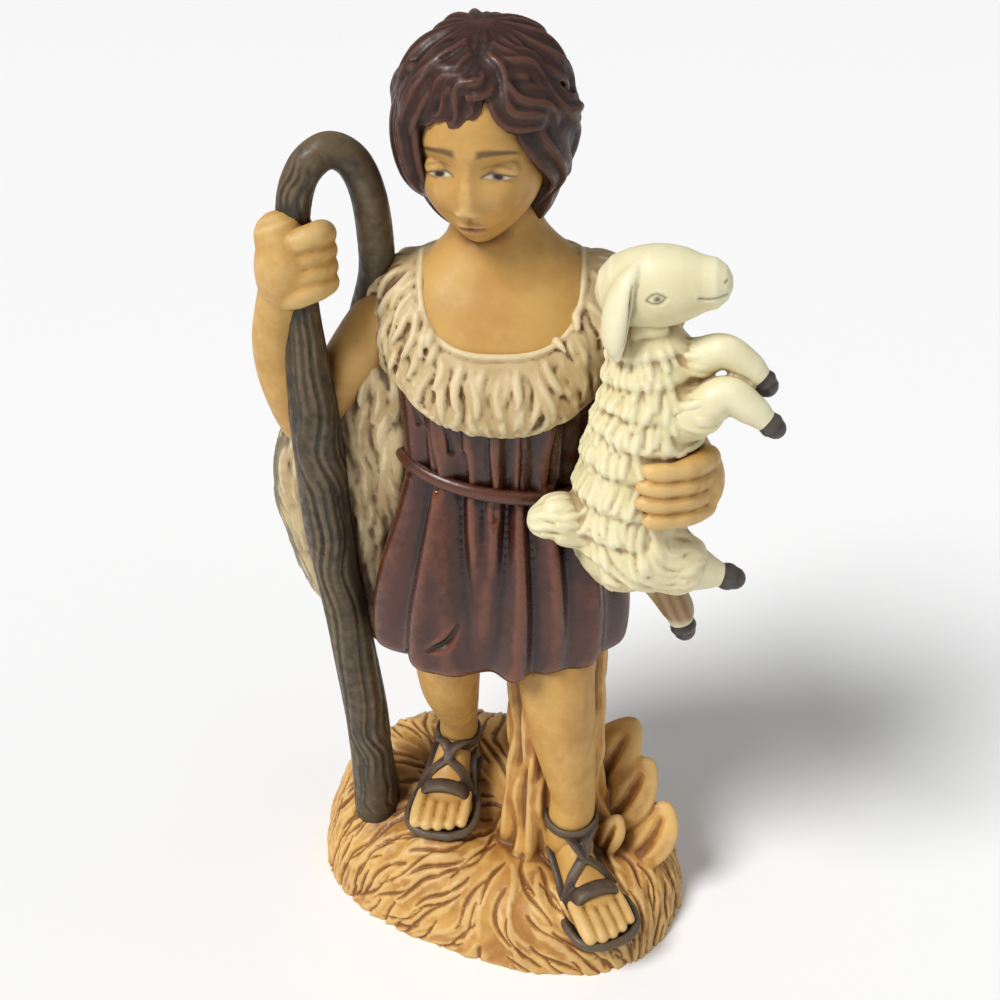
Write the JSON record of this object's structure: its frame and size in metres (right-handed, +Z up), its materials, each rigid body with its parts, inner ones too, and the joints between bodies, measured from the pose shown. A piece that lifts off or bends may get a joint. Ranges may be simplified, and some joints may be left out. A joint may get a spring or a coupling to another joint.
{
  "type": "nativity shepherd figurine",
  "caption": "Standing shepherd boy in a short tunic and fleece, holding a crook and a lamb, on an oval grassy base; one-piece painted bisque porcelain figurine.",
  "frame": {"origin": "on the flat underside of the base, below the boy's hips", "axes": "+Z up from the underside to the crown of the hair, -Y the way the boy faces, +X towards the lamb"},
  "size_m": [0.1099, 0.0807, 0.2146],
  "materials": {
    "painted_bisque": "hand-painted matt bisque with brown wash"
  },
  "bodies": {
    "root": {"shepherd_figurine": "painted_bisque"}
  },
  "joints": []
}
